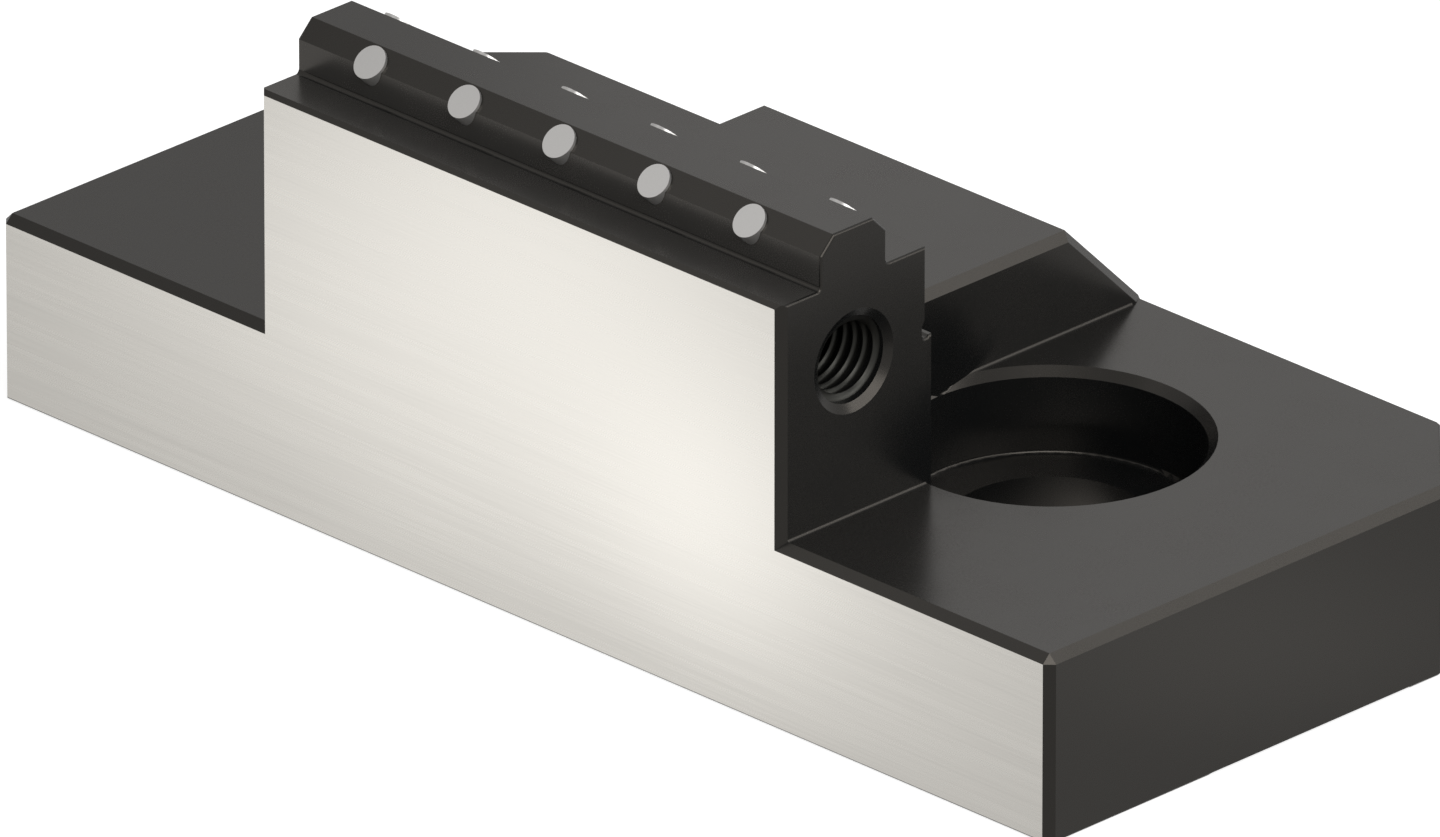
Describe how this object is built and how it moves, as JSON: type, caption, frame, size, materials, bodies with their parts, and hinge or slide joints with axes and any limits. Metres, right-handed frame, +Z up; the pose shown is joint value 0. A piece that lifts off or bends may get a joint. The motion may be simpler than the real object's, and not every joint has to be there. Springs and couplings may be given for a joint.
{
  "type": "gripper finger jaw",
  "caption": "Machined steel gripper finger jaw with counterbored screw holes, a ground front face and a raised clamping edge set with slanted carbide pins.",
  "frame": {"origin": "middle of the underside's outline, on the plane of the two seating pads", "axes": "+X along the jaw's length, +Y from the ground front face to the rear, +Z up towards the clamping tip"},
  "size_m": [0.16, 0.072, 0.0559],
  "materials": {
    "blackened_steel": "black oxide, satin, with the front face ground bright",
    "carbide": "ground end faces, polished flanks"
  },
  "bodies": {
    "root": {"jaw_body": "blackened_steel", "front_grip_pin_1": "carbide", "front_grip_pin_2": "carbide", "front_grip_pin_3": "carbide", "front_grip_pin_4": "carbide", "front_grip_pin_5": "carbide", "rear_grip_pin_1": "carbide", "rear_grip_pin_2": "carbide", "rear_grip_pin_3": "carbide", "rear_grip_pin_4": "carbide", "rear_grip_pin_5": "carbide", "rear_grip_pin_6": "carbide"}
  },
  "joints": []
}
